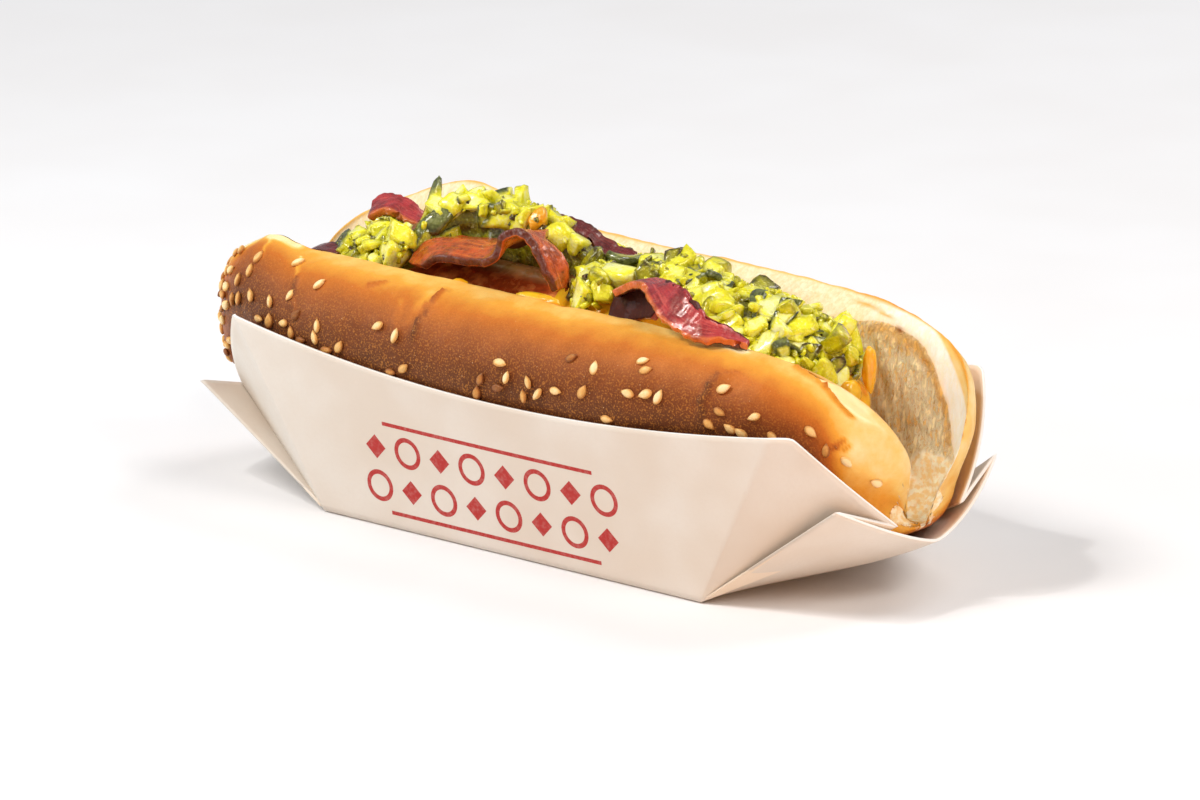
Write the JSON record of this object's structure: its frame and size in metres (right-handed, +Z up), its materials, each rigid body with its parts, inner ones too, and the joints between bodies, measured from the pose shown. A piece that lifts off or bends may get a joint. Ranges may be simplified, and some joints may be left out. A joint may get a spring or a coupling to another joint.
{
  "type": "hot dog in a paper tray",
  "caption": "Hot dog: a seeded bun opened upwards round a sausage with relish, bacon and cheese sauce, in a folded paperboard tray.",
  "frame": {"origin": "under the middle of the whole, on the surface that the tray stands on", "axes": "+X along the bun towards its open end, -Y towards the seeded half, +Z up"},
  "size_m": [0.1756, 0.0698, 0.0644],
  "materials": {
    "paperboard": "matt off-white food board with a plain red print",
    "bread": "baked bread: browned satin crust, pale open crumb, sesame seeds",
    "sausage": "glossy browned skin",
    "sauce": "wet smooth sauce",
    "relish": "wet, slightly clear chopped pickle",
    "bacon": "fried, streaked with fat, greasy shine"
  },
  "bodies": {
    "root": {"tray": "paperboard", "bun": "bread", "sausage": "sausage", "cheese_sauce": "sauce", "relish": "relish", "bacon_1": "bacon", "bacon_2": "bacon", "bacon_3": "bacon", "bacon_4": "bacon", "bacon_5": "bacon"}
  },
  "joints": []
}
